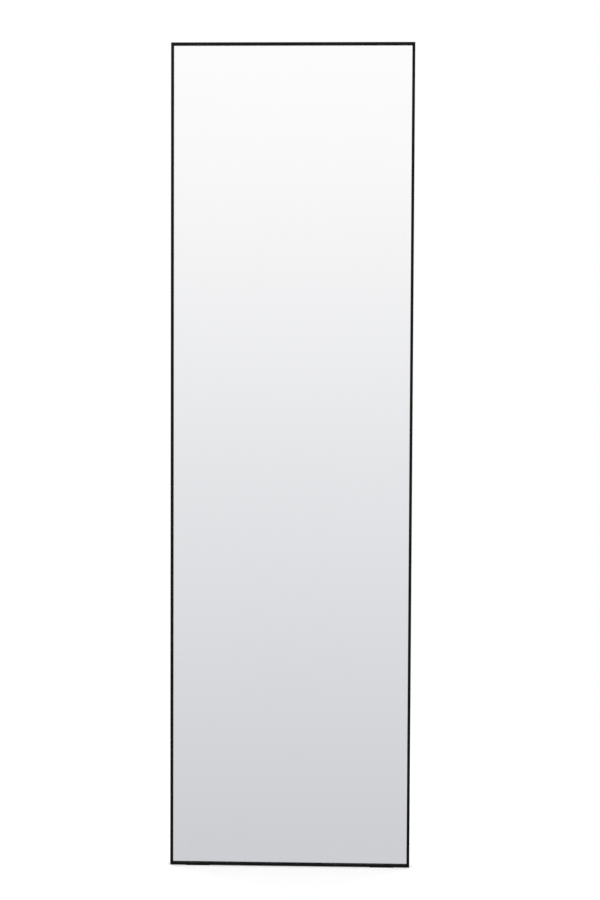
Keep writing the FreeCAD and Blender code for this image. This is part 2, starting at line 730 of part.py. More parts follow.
def floor_foot(label, side):
    """A rubber angle under and behind the bottom rail. Its own z = 0 is the rail's underside."""
    body = doc.addObject("PartDesign::Body", label)
    rear = "frame_depth + foot_wall"
    shape = sketch_on(body, "angle", "YZ_Plane")
    outline(shape, [("sole_setback", "-sole_thickness"), (rear, "-sole_thickness"),
                    (rear, "foot_height"), ("frame_depth", "foot_height"),
                    ("frame_depth", "0"), ("sole_setback", "0")])
    angle = pad(body, shape, "foot_length")
    heel = rounded(body, angle, "heel_rounding", lambda at: same(at.x, 0)
                   and same(at.y, amount(rear)) and same(at.z, amount("-sole_thickness")))
    rounded(body, heel, "foot_rounding", lambda at: same(at.x, 0)
            and same(at.y, amount(rear)) and same(at.z, amount("foot_height")))
    drilled = sketch_on(body, "screw_hole", "XZ_Plane")
    circle(drilled, "0", "slot_middle", "screw_diameter / 2 + screw_hole_gap")
    pocket(body, drilled)
    place(body, f"{side} * (half_width - foot_offset)", "0", "sole_thickness")
    return keep(body, label)


# ---- the whole mirror ----

stile("left_stile", -1)
stile("right_stile", 1)
rail("top_rail", 1)
rail("bottom_rail", -1)
corner_hardware()

panel("mirror_glass", "glass_front", "glass_thickness")
panel("silver_coating", "glass_back", "coating_thickness")
panel("safety_film", "coating_back", "film_thickness")
panel("backing_board", "film_back", "board_thickness")
glazing_tape()
setting_blocks()
edge_spacers()
spring_clips()

cross_rail("upper_cross_rail", "upper_rail_z", True)
cross_rail("lower_cross_rail", "lower_rail_z", False)
for hand, side in (("left", -1), ("right", 1)):
    hanger_strap(f"hanger_strap_{hand}", side)
    d_ring(f"d_ring_{hand}", side)
    floor_foot(f"floor_foot_{hand}", side)
for name, side, end in frame_corners:
    wall_bumper(f"wall_bumper_{name}", side, end)

bumper_spots = [(f"{side} * (half_width - slot_middle)", corner_z(end, "bumper_offset"))
                for name, side, end in frame_corners]
foot_spots = [(f"{side} * (half_width - foot_offset)", corner_z(-1, "slot_middle"))
              for side in (-1, 1)]
bumper_seat = "frame_depth + bumper_height - counterbore_depth"
foot_seat = "frame_depth + foot_wall"

group("cross_rail_screws", pan_screw("rail_screw", "rail_screw_length"),
      [(x, "strap_front", z, to_rear) for x, z in tab_screws])
group("hanger_screws", pan_screw("strap_screw", "strap_screw_length"),
      [(x, "strap_front + strap_gauge", z, to_rear) for x, z in strap_screws])
group("hanger_nuts", hexagon_nut_pattern(),
      [(x, "frame_depth", z, to_rear) for x, z in strap_screws])
group("bumper_screws", pan_screw("bumper_screw", "bumper_screw_length"),
      [(x, f"{bumper_seat} + washer_thickness", z, to_rear) for x, z in bumper_spots])
group("foot_screws", pan_screw("foot_screw", "foot_screw_length"),
      [(x, f"{foot_seat} + washer_thickness", z, to_rear) for x, z in foot_spots])
group("screw_washers", washer_pattern(),
      [(x, bumper_seat, z, to_rear) for x, z in bumper_spots]
      + [(x, foot_seat, z, to_rear) for x, z in foot_spots])
group("slot_nuts", slot_nut_pattern(),
      [(x, "slot_rear", z, to_rear) for x, z in tab_screws + bumper_spots]
      + [(x, "slot_rear", z, to_rear_turned) for x, z in foot_spots])

doc.recompute()
faults = [thing.Name for thing in doc.Objects if {"Invalid", "Error"} & set(thing.State)]
faults += [node.Label for node in nodes if node.Shape.isNull() or not node.Shape.isValid()]
if faults:
    raise RuntimeError(f"failed: {faults}")

os.makedirs("parts", exist_ok=True)
for node in nodes:
    node.Shape.exportStep(f"parts/{node.Label}.step")
print(f"{len(nodes)} sub-parts, {sum(len(node.Shape.Solids) for node in nodes)} solids")
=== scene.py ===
# Leaning floor mirror: finishes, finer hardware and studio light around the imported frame. Lengths in metres.
import json
import math

import bmesh
import bpy
from mathutils import Matrix, Vector

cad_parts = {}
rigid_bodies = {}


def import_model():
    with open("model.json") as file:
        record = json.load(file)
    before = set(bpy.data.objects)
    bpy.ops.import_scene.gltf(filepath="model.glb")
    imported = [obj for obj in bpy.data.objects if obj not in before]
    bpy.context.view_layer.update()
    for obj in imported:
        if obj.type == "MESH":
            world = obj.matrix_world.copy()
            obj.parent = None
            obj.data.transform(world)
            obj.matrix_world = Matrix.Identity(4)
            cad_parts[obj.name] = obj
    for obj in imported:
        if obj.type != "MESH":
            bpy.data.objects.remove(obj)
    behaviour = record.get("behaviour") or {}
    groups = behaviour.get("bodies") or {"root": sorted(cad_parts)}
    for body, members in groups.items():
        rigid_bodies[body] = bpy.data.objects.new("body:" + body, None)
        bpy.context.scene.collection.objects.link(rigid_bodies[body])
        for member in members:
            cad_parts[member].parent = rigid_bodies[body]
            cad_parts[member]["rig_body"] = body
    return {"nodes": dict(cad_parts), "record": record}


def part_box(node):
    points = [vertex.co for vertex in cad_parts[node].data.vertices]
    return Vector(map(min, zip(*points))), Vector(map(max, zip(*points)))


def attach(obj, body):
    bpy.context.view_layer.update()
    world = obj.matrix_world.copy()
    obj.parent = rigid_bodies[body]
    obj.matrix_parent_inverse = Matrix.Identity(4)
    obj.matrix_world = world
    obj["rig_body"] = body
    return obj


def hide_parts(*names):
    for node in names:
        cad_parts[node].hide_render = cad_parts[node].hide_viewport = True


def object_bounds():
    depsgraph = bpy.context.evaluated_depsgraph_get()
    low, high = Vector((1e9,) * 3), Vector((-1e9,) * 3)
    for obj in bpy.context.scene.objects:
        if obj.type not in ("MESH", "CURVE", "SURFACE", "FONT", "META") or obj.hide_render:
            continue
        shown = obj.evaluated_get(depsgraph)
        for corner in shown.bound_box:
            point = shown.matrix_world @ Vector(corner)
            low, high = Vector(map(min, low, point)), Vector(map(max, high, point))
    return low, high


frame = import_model()
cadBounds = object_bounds()
nodes = frame["nodes"]
mm = 0.001
slotOf = {part["node"]: part["material_slot"] for part in frame["record"]["subparts"]}
bodyOf = {name: node["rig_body"] for name, node in nodes.items()}
print("frame loaded,", len(nodes), "nodes")


def addObject(name, data):
    thing = bpy.data.objects.new(name, data)
    bpy.context.scene.collection.objects.link(thing)
    return thing


def toMesh(name, shape):  # turns a finished bmesh into a mesh
    mesh = bpy.data.meshes.new(name)
    shape.to_mesh(mesh)
    shape.free()
    return mesh


# Camera, a little right of the mirror's middle and looking slightly down

cameraSetup = {
    "lens": 60,  # mm
    "sensor": 36,  # mm, along the tall side of the 600 x 900 picture
    "clipEnd": 60,
    "place": (0.1272, -3.7983, 1.2124),
    "yaw": -1.593,  # degrees
    "pitch": -2.262,
    "roll": 0.257,
}


def addCamera(setup):
    data = bpy.data.cameras.new("camera")
    data.lens = setup["lens"]
    data.sensor_width = setup["sensor"]
    data.clip_end = setup["clipEnd"]
    camera = addObject("camera", data)
    turn = Matrix.Rotation(math.radians(-setup["yaw"]), 4, "Z")
    tilt = Matrix.Rotation(math.radians(90 + setup["pitch"]), 4, "X")
    roll = Matrix.Rotation(math.radians(setup["roll"]), 4, "Z")
    camera.matrix_world = Matrix.Translation(setup["place"]) @ turn @ tilt @ roll
    bpy.context.scene.camera = camera


addCamera(cameraSetup)
print("camera placed")


# Node helpers

def addNode(tree, kind, inputs=None, **settings):
    node = tree.nodes.new(kind)
    for name, value in settings.items():
        setattr(node, name, value)
    for name, value in (inputs or {}).items():
        if isinstance(value, bpy.types.NodeSocket):
            tree.links.new(value, node.inputs[name])
        else:
            node.inputs[name].default_value = value
    return node


def newFinish(name, sockets):
    material = bpy.data.materials.new(name)
    material.use_nodes = True
    tree = material.node_tree
    shader = tree.nodes["Principled BSDF"]
    for socket, value in sockets.items():
        shader.inputs[socket].default_value = value
    return material, tree, shader


def objectSpace(tree, size, stretch=(1, 1, 1), turn=0.0):
    # size is one texture cell in metres, and turn in degrees is about the depth axis
    where = addNode(tree, "ShaderNodeTexCoord").outputs["Object"]
    inputs = {"Vector": where, "Scale": [size * s for s in stretch], "Rotation": (0, math.radians(turn), 0)}
    return addNode(tree, "ShaderNodeMapping", inputs, vector_type="TEXTURE").outputs[0]


def noise(tree, size, stretch=(1, 1, 1), detail=2.0, distortion=0.0, turn=0.0):
    inputs = {"Vector": objectSpace(tree, size, stretch, turn), "Scale": 1, "Detail": detail,
              "Distortion": distortion}
    return addNode(tree, "ShaderNodeTexNoise", inputs).outputs["Fac"]


def cells(tree, size, stretch=(1, 1, 1), turn=0.0):
    inputs = {"Vector": objectSpace(tree, size, stretch, turn), "Scale": 1}
    return addNode(tree, "ShaderNodeTexVoronoi", inputs).outputs["Distance"]


def remap(tree, value, low, high, fromLow=0.3, fromHigh=0.7):
    inputs = {"Value": value, "From Min": fromLow, "From Max": fromHigh, "To Min": low, "To Max": high}
    return addNode(tree, "ShaderNodeMapRange", inputs).outputs[0]


def add(tree, first, second):
    return addNode(tree, "ShaderNodeMath", {0: first, 1: second}, operation="ADD").outputs[0]


def multiply(tree, first, second):
    return addNode(tree, "ShaderNodeMath", {0: first, 1: second}, operation="MULTIPLY").outputs[0]


def larger(tree, first, second):
    return addNode(tree, "ShaderNodeMath", {0: first, 1: second}, operation="MAXIMUM").outputs[0]


def shades(tree, value, stops):  # stops are (position, colour)
    ramp = addNode(tree, "ShaderNodeValToRGB", {"Fac": value})
    marks = ramp.color_ramp.elements
    for mark, (position, colour) in ((marks[0], stops[0]), (marks[1], stops[-1])):
        mark.position = position
        mark.color = (*colour, 1)
    for position, colour in stops[1:-1]:
        marks.new(position).color = (*colour, 1)
    return ramp.outputs["Color"]


def blendColour(tree, amount, first, second):
    inputs = {"Factor": amount, 6: first, 7: second}  # the colour sockets go by number, as names repeat
    return addNode(tree, "ShaderNodeMix", inputs, data_type="RGBA").outputs[2]


def relief(tree, height, depth):
    return addNode(tree, "ShaderNodeBump", {"Height": height, "Distance": depth}).outputs["Normal"]


def drive(tree, shader, **sockets):  # baseColor=... links to the socket "Base Color"
    names = {"baseColor": "Base Color", "roughness": "Roughness", "normal": "Normal"}
    for key, value in sockets.items():
        tree.links.new(value, shader.inputs[names[key]])


# Finishes: sizes of clouds, grain and streaks are one texture cell in metres

powderCoatLook = {"dark": (0.0030, 0.0030, 0.0032), "light": (0.0050, 0.0050, 0.0053), "cloud": 0.06,
                  "smooth": 0.34, "rough": 0.44, "dust": 0.0004, "dustiness": 0.03, "sheen": 0.10,
                  "peel": 0.0012, "peelDepth": 0.000008}
railCoatLook = {"dark": (0.008, 0.008, 0.0085), "light": (0.014, 0.014, 0.015), "cloud": 0.06,
                "smooth": 0.48, "rough": 0.60, "dust": 0.0004, "dustiness": 0.03, "sheen": 0.35,
                "peel": 0.0010, "peelDepth": 0.00003}


def powderCoat(name, look):
    material, tree, shader = newFinish(name, {"Specular IOR Level": look["sheen"]})
    cloud = noise(tree, look["cloud"], detail=3)
    peel = noise(tree, look["peel"], detail=1)
    dust = noise(tree, look["dust"], detail=1)
    drive(tree, shader,
          baseColor=shades(tree, cloud, [(0.35, look["dark"]), (0.65, look["light"])]),
          roughness=add(tree, remap(tree, cloud, look["smooth"], look["rough"]),
                        remap(tree, dust, -look["dustiness"], look["dustiness"])),
          normal=relief(tree, peel, look["peelDepth"]))
    return material


glassIor = 1.52
glassLook = {"clear": (0.990, 0.996, 0.993), "clean": 0.0, "hazy": 0.006, "haze": 0.12}


def clearGlass(look):
    sockets = {"IOR": glassIor, "Transmission Weight": 1, "Base Color": (*look["clear"], 1)}
    material, tree, shader = newFinish("clear float glass", sockets)
    haze = noise(tree, look["haze"], detail=4, distortion=0.6)
    drive(tree, shader, roughness=remap(tree, haze, look["clean"], look["hazy"], 0.45, 0.75))
    return material


silverLook = {"tint": (0.991, 0.983, 0.986), "deepTint": (0.986, 0.979, 0.981), "rough": 0.004,
              "drift": 0.35}


def silverLayer(look):
    material, tree, shader = newFinish("silver on glass", {"Metallic": 1, "Roughness": look["rough"]})
    drift = noise(tree, look["drift"], detail=1)
    drive(tree, shader, baseColor=shades(tree, drift, [(0.3, look["deepTint"]), (0.7, look["tint"])]))
    return material


groundEdgeLook = {"dark": (0.09, 0.24, 0.19), "light": (0.30, 0.50, 0.43), "streak": 0.0006,
                  "polished": 0.25, "frosted": 0.5, "grind": 0.0003, "grindDepth": 0.00002}


def groundEdge(look):
    material, tree, shader = newFinish("ground glass edge", {"IOR": glassIor})
    streaks = noise(tree, look["streak"], stretch=(30, 1, 30), detail=3)
    grind = noise(tree, look["grind"], detail=1)
    drive(tree, shader,
          baseColor=shades(tree, streaks, [(0.3, look["dark"]), (0.7, look["light"])]),
          roughness=remap(tree, grind, look["polished"], look["frosted"]),
          normal=relief(tree, grind, look["grindDepth"]))
    return material


backPaintLook = {"dark": (0.13, 0.17, 0.16), "light": (0.19, 0.23, 0.22), "copper": (0.42, 0.20, 0.11),
                 "cloud": 0.02, "cloudDepth": 0.00003, "pinholesApart": 0.004, "smooth": 0.35, "rough": 0.5}


def backPaint(look):  # grey-green paint over the silver, with the odd copper pinhole
    material, tree, shader = newFinish("mirror back paint", {})
    cloud = noise(tree, look["cloud"], stretch=(1, 1, 6), detail=3)
    pinholes = cells(tree, look["pinholesApart"])
    paint = shades(tree, cloud, [(0.3, look["dark"]), (0.7, look["light"])])
    spots = remap(tree, pinholes, 1, 0, 0.03, 0.06)
    drive(tree, shader,
          baseColor=blendColour(tree, spots, paint, (*look["copper"], 1)),
          roughness=remap(tree, cloud, look["smooth"], look["rough"]),
          normal=relief(tree, cloud, look["cloudDepth"]))
    return material


filmLook = {"film": (0.62, 0.63, 0.62), "thread": (0.80, 0.80, 0.78), "mesh": 0.004,
            "meshDepth": 0.0001, "smooth": 0.38, "rough": 0.6}


def scrimFilm(look):  # adhesive film with a woven scrim in it
    material, tree, shader = newFinish("safety film", {})
    space = objectSpace(tree, look["mesh"])
    bands = []
    for direction in ("X", "Z"):
        band = addNode(tree, "ShaderNodeTexWave", {"Vector": space, "Scale": 1, "Distortion": 0.4},
                       bands_direction=direction)
        bands.append(remap(tree, band.outputs["Fac"], 0, 1, 0.75, 0.95))
    weave = larger(tree, *bands)
    drive(tree, shader,
          baseColor=blendColour(tree, weave, (*look["film"], 1), (*look["thread"], 1)),
          roughness=remap(tree, weave, look["smooth"], look["rough"], 0, 1),
          normal=relief(tree, weave, look["meshDepth"]))
    return material


boardLook = {
    "pale": (0.520, 0.385, 0.245), "mid": (0.455, 0.325, 0.198), "deep": (0.385, 0.262, 0.152),
    "paleFibre": (0.640, 0.500, 0.340), "darkFibre": (0.265, 0.165, 0.090), "bark": (0.085, 0.048, 0.027),
    "paleShare": 0.38, "darkShare": 0.34, "barkShare": 0.85,  # how far each one hides the ground
    "cloud": 0.14, "felt": 0.0022, "fibre": 0.00045, "sanding": 0.0006, "barkEdge": 0.0012,
    "barkApart": 0.016, "depth": 0.000025, "smooth": 0.80, "rough": 0.92, "sheen": 0.22,
}


def fibreBoard(look):
    material, tree, shader = newFinish("fibreboard", {"Specular IOR Level": look["sheen"]})
    cloud = noise(tree, look["cloud"], detail=3)
    felt = noise(tree, look["felt"], detail=4)
    ground = shades(tree, add(tree, multiply(tree, cloud, 0.3), multiply(tree, felt, 0.7)),
                    [(0.32, look["deep"]), (0.50, look["mid"]), (0.68, look["pale"])])
    strands = []
    for turn in (12, 71, 133):  # short pressed fibres lie every way
        strands.append(noise(tree, look["fibre"], stretch=(6, 1, 1), detail=1, distortion=0.4, turn=turn))
    woven = larger(tree, strands[0], strands[1])
    paleStrands = remap(tree, woven, 0, look["paleShare"], 0.58, 0.74)
    darkStrands = remap(tree, strands[2], 0, look["darkShare"], 0.57, 0.72)
    light = blendColour(tree, paleStrands, ground, (*look["paleFibre"], 1))
    dark = blendColour(tree, darkStrands, light, (*look["darkFibre"], 1))
    bark = cells(tree, look["barkApart"], stretch=(1, 1, 1.6), turn=33)
    lump = add(tree, bark, multiply(tree, noise(tree, look["barkEdge"]), 0.12))
    flecks = remap(tree, lump, look["barkShare"], 0, 0.075, 0.13)
    sanding = noise(tree, look["sanding"], stretch=(1, 1, 150), detail=2)
    nap = add(tree, multiply(tree, woven, 0.6), multiply(tree, sanding, 0.4))
    drive(tree, shader,
          baseColor=blendColour(tree, flecks, dark, (*look["bark"], 1)),
          roughness=remap(tree, felt, look["smooth"], look["rough"]),
          normal=relief(tree, nap, look["depth"]))
    return material


zincLook = {"bright": (0.74, 0.76, 0.77), "blue": (0.58, 0.64, 0.72), "straw": (0.70, 0.66, 0.52),
            "drift": 0.012, "tumble": 0.0009, "scratch": 0.0006, "depth": 0.000012,
            "smooth": 0.24, "rough": 0.40}


def zincPlate(look):
    material, tree, shader = newFinish("bright zinc", {"Metallic": 1})
    drift = noise(tree, look["drift"], detail=2, distortion=1.0)
    tumble = noise(tree, look["tumble"], detail=4)
    scratches = noise(tree, look["scratch"], stretch=(1, 1, 14), detail=2)
    drive(tree, shader,
          baseColor=shades(tree, drift, [(0.30, look["blue"]), (0.46, look["bright"]),
                                         (0.62, look["bright"]), (0.76, look["straw"])]),
          roughness=remap(tree, tumble, look["smooth"], look["rough"]),
          normal=relief(tree, add(tree, tumble, scratches), look["depth"]))
    return material


blackOxideLook = {"dark": (0.020, 0.020, 0.023), "light": (0.060, 0.058, 0.062), "metal": 0.85,
                  "patch": 0.002, "grain": 0.0004, "grainDepth": 0.00001, "oiled": 0.28, "dry": 0.5}


def blackOxide(look):
    material, tree, shader = newFinish("black oxide steel", {"Metallic": look["metal"]})
    patch = noise(tree, look["patch"], detail=4)
    drive(tree, shader,
          baseColor=shades(tree, patch, [(0.35, look["dark"]), (0.7, look["light"])]),
          roughness=remap(tree, patch, look["oiled"], look["dry"]),
          normal=relief(tree, noise(tree, look["grain"]), look["grainDepth"]))
    return material


bluedLook = {"blue": (0.035, 0.055, 0.13), "violet": (0.10, 0.055, 0.10), "straw": (0.24, 0.16, 0.08),
             "heat": 0.025, "rolling": 0.0005, "rollingDepth": 0.00001, "smooth": 0.22, "rough": 0.38}


def bluedSpring(look):  # temper colours across a spring
    material, tree, shader = newFinish("blued spring steel", {"Metallic": 1})
    heat = noise(tree, look["heat"], detail=2, distortion=0.8)
    rolled = noise(tree, look["rolling"], stretch=(1, 1, 20), detail=2)
    temper = [(0.36, look["blue"]), (0.54, look["violet"]), (0.72, look["straw"])]
    drive(tree, shader,
          baseColor=shades(tree, heat, temper),
          roughness=remap(tree, rolled, look["smooth"], look["rough"]),
          normal=relief(tree, rolled, look["rollingDepth"]))
    return material


nickelLook = {"warm": (0.72, 0.68, 0.61), "bright": (0.80, 0.78, 0.73), "drift": 0.006,
              "rub": 0.0012, "rubDepth": 0.000006, "smooth": 0.09, "rubbed": 0.24}


def nickelWire(look):
    material, tree, shader = newFinish("nickel wire", {"Metallic": 1})
    drift = noise(tree, look["drift"], detail=2)
    rubs = noise(tree, look["rub"], detail=5, distortion=0.5)
    drive(tree, shader,
          baseColor=shades(tree, drift, [(0.35, look["warm"]), (0.65, look["bright"])]),
          roughness=remap(tree, rubs, look["smooth"], look["rubbed"], 0.4, 0.75),
          normal=relief(tree, rubs, look["rubDepth"]))
    return material


rubberLook = {"black": (0.012, 0.012, 0.0125), "bloom": (0.045, 0.044, 0.043), "bloomSize": 0.006,
              "grain": 0.0007, "grainDepth": 0.00005, "smooth": 0.62, "rough": 0.86, "sheen": 0.35}


def mouldedRubber(look):
    material, tree, shader = newFinish("moulded rubber", {"Specular IOR Level": look["sheen"]})
    bloom = noise(tree, look["bloomSize"], detail=4, distortion=0.7)
    grain = noise(tree, look["grain"], detail=2)
    drive(tree, shader,
          baseColor=shades(tree, bloom, [(0.42, look["black"]), (0.80, look["bloom"])]),
          roughness=remap(tree, bloom, look["smooth"], look["rough"]),
          normal=relief(tree, grain, look["grainDepth"]))
    return material


# the darker pore colour is painted shade inside the foam's hollow cells
foamLook = {"skin": (0.030, 0.030, 0.031), "shadedPore": (0.006, 0.006, 0.006), "poreSize": 0.0005,
            "poreDepth": 0.0001, "poreRough": 0.95, "skinRough": 0.8, "sheen": 0.2}


def glazingFoam(look):
    material, tree, shader = newFinish("glazing foam", {"Specular IOR Level": look["sheen"]})
    pores = cells(tree, look["poreSize"])
    drive(tree, shader,
          # darker where the cells are hollow: painted shade in the pores, while the bump and roughness give
          # them their real hollow
          baseColor=shades(tree, pores, [(0.15, look["shadedPore"]), (0.5, look["skin"])]),
          roughness=remap(tree, pores, look["poreRough"], look["skinRough"], 0, 1),
          normal=relief(tree, pores, look["poreDepth"]))
    return material


finishes = {
    "frame_black": powderCoat("satin black powder coat", powderCoatLook),
    "rail_black": powderCoat("textured black powder coat", railCoatLook),
    "float_glass": clearGlass(glassLook),
    "silvering": backPaint(backPaintLook),
    "safety_film": scrimFilm(filmLook),
    "backing_board": fibreBoard(boardLook),
    "glazing_foam": glazingFoam(foamLook),
    "black_rubber": mouldedRubber(rubberLook),
    "zinc_steel": zincPlate(zincLook),
    "spring_steel": bluedSpring(bluedLook),
    "black_oxide_steel": blackOxide(blackOxideLook),
    "nickel_wire": nickelWire(nickelLook),
}
silvering = silverLayer(silverLook)
glassEdge = groundEdge(groundEdgeLook)
for name, node in nodes.items():
    for holder in node.material_slots:
        holder.material = finishes[slotOf[name]]
print("finishes on every node")


# Mesh helpers

def newPiece(name, shape, materials, node):
    # a finished piece that stands for one CAD node: it is built where that node is, joins that node's body,
    # and the node is hidden
    mesh = toMesh(name, shape)
    for material in materials:
        mesh.materials.append(material)
    piece = addObject(name, mesh)
    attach(piece, bodyOf[node])
    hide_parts(node)
    return piece


def plainPiece(node, made, shape):  # a piece with the node's own finish all over, named by how it is made
    return newPiece(f"{node}_{made}", shape, [finishes[slotOf[node]]], node)


def smooth(piece, sharpAngle):  # smooth shading, but for edges that turn by more than sharpAngle degrees
    piece.data.shade_smooth()
    piece.data.set_sharp_from_angle(angle=math.radians(sharpAngle))


joinWithin = 0.002 * mm
flatWithin = math.radians(0.2)


def meshOf(node):  # a node's mesh with its split edges joined and its flat faces whole
    shape = bmesh.new()
    shape.from_mesh(nodes[node].data)
    for layer in list(shape.loops.layers.uv):
        shape.loops.layers.uv.remove(layer)
    bmesh.ops.remove_doubles(shape, verts=shape.verts, dist=joinWithin)
    bmesh.ops.dissolve_limit(shape, angle_limit=flatWithin, verts=shape.verts, edges=shape.edges)
    return shape


def separateSolids(node):  # the lowest and highest corner of each separate solid in a node
    shape = meshOf(node)
    waiting = set(shape.verts)
    boxes = []
    while waiting:
        found = [waiting.pop()]
        for vertex in found:
            for edge in vertex.link_edges:
                other = edge.other_vert(vertex)
                if other in waiting:
                    waiting.remove(other)
                    found.append(other)
        low = Vector([min(v.co[axis] for v in found) for axis in range(3)])
        high = Vector([max(v.co[axis] for v in found) for axis in range(3)])
        boxes.append((low, high))
    shape.free()
    return sorted(boxes, key=lambda pair: tuple(round(value, 4) for value in pair[0]))  # to 0.1 mm


def middleOf(low, high):  # the x and z of a box's middle
    return (low.x + high.x) / 2, (low.z + high.z) / 2


def hexagon(flats):  # radius of a hexagon, with a corner on the x axis, in any direction
    def radius(angle):
        return flats / 2 / math.cos(angle % (math.pi / 3) - math.pi / 6)
    return radius


def ring(radius, z, count):  # radius is a length, or gives the length in each direction
    points = []
    for step in range(count):
        angle = 2 * math.pi * step / count
        reach = radius(angle) if callable(radius) else radius
        points.append((reach * math.cos(angle), reach * math.sin(angle), z))
    return points


def arc(radiusAtStart, zAtStart, radiusAtEnd, zAtEnd, steps, outward=True):
    # a quarter round between two places on a turned profile, leaving the first one along z if outward
    places = []
    for step in range(steps + 1):
        angle = math.pi / 2 * step / steps
        alongR, alongZ = (1 - math.cos(angle), math.sin(angle)) if outward else (
            math.sin(angle), 1 - math.cos(angle))
        places.append((radiusAtStart + (radiusAtEnd - radiusAtStart) * alongR,
                       zAtStart + (zAtEnd - zAtStart) * alongZ))
    return places


threadForm = {"perTurn": 6, "runOut": 3, "flank": 2.6}  # rings in a turn, how soon it is full, how steep


def thread(radius, depth, pitch, start, end, count):  # rings of a helical thread from start up to end
    perTurn, runOut, flank = threadForm["perTurn"], threadForm["runOut"], threadForm["flank"]
    rings = []
    steps = max(1, round((end - start) / pitch * perTurn))
    for step in range(steps + 1):
        z = start + (end - start) * step / steps
        fade = min(1, runOut * step / perTurn, runOut * (steps - step) / perTurn)

        def reach(angle, z=z, fade=fade):
            phase = (z / pitch - angle / (2 * math.pi)) % 1
            return radius - depth * fade * max(0, 1 - flank * abs(phase - 0.5))
        rings.append(ring(reach, z, count))
    return rings


def loft(shape, rings, place, closed=False):  # skins rings of equal count, then moves them to their place
    corners = [[shape.verts.new(place @ Vector(point)) for point in points] for points in rings]
    pairs = list(zip(corners, corners[1:]))
    if closed:
        pairs.append((corners[-1], corners[0]))
    for lower, upper in pairs:
        for index in range(len(lower)):
            following = (index + 1) % len(lower)
            shape.faces.new((lower[index], lower[following], upper[following], upper[index]))
    if not closed:
        shape.faces.new(list(reversed(corners[0])))
        shape.faces.new(corners[-1])
    bmesh.ops.recalc_face_normals(shape, faces=shape.faces)


def roundedOutline(corners, steps=4):  # corners are (x, y, radius) of a right-angled outline, in order
    points = []
    for index, (x, y, radius) in enumerate(corners):
        here = Vector((x, y))
        before = (Vector(corners[index - 1][:2]) - here).normalized() * radius
        after = (Vector(corners[(index + 1) % len(corners)][:2]) - here).normalized() * radius
        for step in range(steps + 1):
            angle = math.pi / 2 * step / steps
            points.append(here + before * (1 - math.sin(angle)) + after * (1 - math.cos(angle)))
    return points


def shrunk(points, by):  # the same outline, a little smaller all round
    area = sum(a.x * b.y - b.x * a.y for a, b in zip(points, points[1:] + points[:1]))
    inward = 1 if area > 0 else -1
    smaller = []
    for index, point in enumerate(points):
        before = (point - points[index - 1]).normalized()
        after = (points[(index + 1) % len(points)] - point).normalized()
        across = (before + after).normalized()
        smaller.append(point + Vector((-across.y, across.x)) * inward * by)
    return smaller


def fromBehind(x, y, z, turn=0.0):  # a turned part's own +Z points backwards, away from the glass
    return (Matrix.Translation((x, y, z)) @ Matrix.Rotation(math.radians(-90), 4, "X")
            @ Matrix.Rotation(turn, 4, "Z"))


# Mirror: a clear float glass sheet with ground edges, silvered on its back face

glassSheet = {"arris": 0.6 * mm, "coatingGap": 0.02 * mm}


def mirrorGlass(size):
    low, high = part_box("mirror_glass")
    shape = bmesh.new()
    bmesh.ops.create_cube(shape, size=1)
    for vertex in shape.verts:
        for axis in range(3):
            vertex.co[axis] = low[axis] if vertex.co[axis] < 0 else high[axis]
        if vertex.co.y > low.y:
            vertex.co.y = high.y - size["coatingGap"]
    shape.normal_update()
    finishOn = {-1: 0, 1: 1, 0: 2}  # the front is clear, the back silvered and the edges ground
    for face in shape.faces:
        face.material_index = finishOn[round(face.normal.y)]
    piece = newPiece("float_glass_silvered", shape,
                     [finishes["float_glass"], silvering, glassEdge], "mirror_glass")
    bevel = piece.modifiers.new("seamed arris", "BEVEL")
    bevel.width = size["arris"]
    bevel.segments = 1
    bevel.material = finishOn[0]


mirrorGlass(glassSheet)
print("glass silvered")


# Frame: four mitred lengths of one extruded section, u from the outer edge inwards and v from the front back

extrusion = {"face": 7 * mm, "lip": 1.6 * mm, "wall": 1.5 * mm, "channel": 15 * mm, "webFront": 23 * mm,
             "webBack": 24.4 * mm, "slotRear": 28.6 * mm, "depth": 30 * mm, "mouth": 7 * mm,
             "outside": 0.5 * mm, "inside": 0.15 * mm, "mitreArris": 0.1 * mm}


def sectionOutline(size):
    outer, inner = size["outside"], size["inside"]
    mouthNear, mouthFar = size["channel"] / 2 - size["mouth"] / 2, size["channel"] / 2 + size["mouth"] / 2
    slotWall = size["channel"] - size["wall"]
    return roundedOutline([
        (0, 0, outer), (size["face"], 0, outer), (size["face"], size["lip"], inner),
        (size["wall"], size["lip"], inner), (size["wall"], size["webFront"], inner),
        (size["channel"], size["webFront"], inner), (size["channel"], size["depth"], outer),
        (mouthFar, size["depth"], inner), (mouthFar, size["slotRear"], inner),
        (slotWall, size["slotRear"], inner), (slotWall, size["webBack"], inner),
        (size["wall"], size["webBack"], inner), (size["wall"], size["slotRear"], inner),
        (mouthNear, size["slotRear"], inner), (mouthNear, size["depth"], inner), (0, size["depth"], outer)])


def frameLength(node, upright, flip, size):
    low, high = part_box(node)
    outline = sectionOutline(size)
    arris = size["mitreArris"]
    small = shrunk(outline, arris)
    start, end = (low.z, high.z) if upright else (low.x, high.x)
    middleOfLength, half = (start + end) / 2, (end - start) / 2

    def at(point, way, back):  # a section point on the mitre at one end, stood back from it
        along = middleOfLength + way * (half - point.x - back)
        if upright:
            return (high.x - point.x if flip else low.x + point.x, low.y + point.y, along)
        return (along, low.y + point.y, high.z - point.x if flip else low.z + point.x)
    rings = [[at(point, -1, 0) for point in small], [at(point, -1, arris) for point in outline],
             [at(point, 1, arris) for point in outline], [at(point, 1, 0) for point in small]]
    shape = bmesh.new()
    loft(shape, rings, Matrix.Identity(4))
    smooth(plainPiece(node, "extruded", shape), sharpAngle=40)


for name, upright, flip in (("left_stile", True, False), ("right_stile", True, True),
                            ("bottom_rail", False, False), ("top_rail", False, True)):
    frameLength(name, upright, flip, extrusion)
print("frame extruded and mitred")


# Floor feet: a moulded rubber angle under and behind the bottom rail, ribbed where it grips

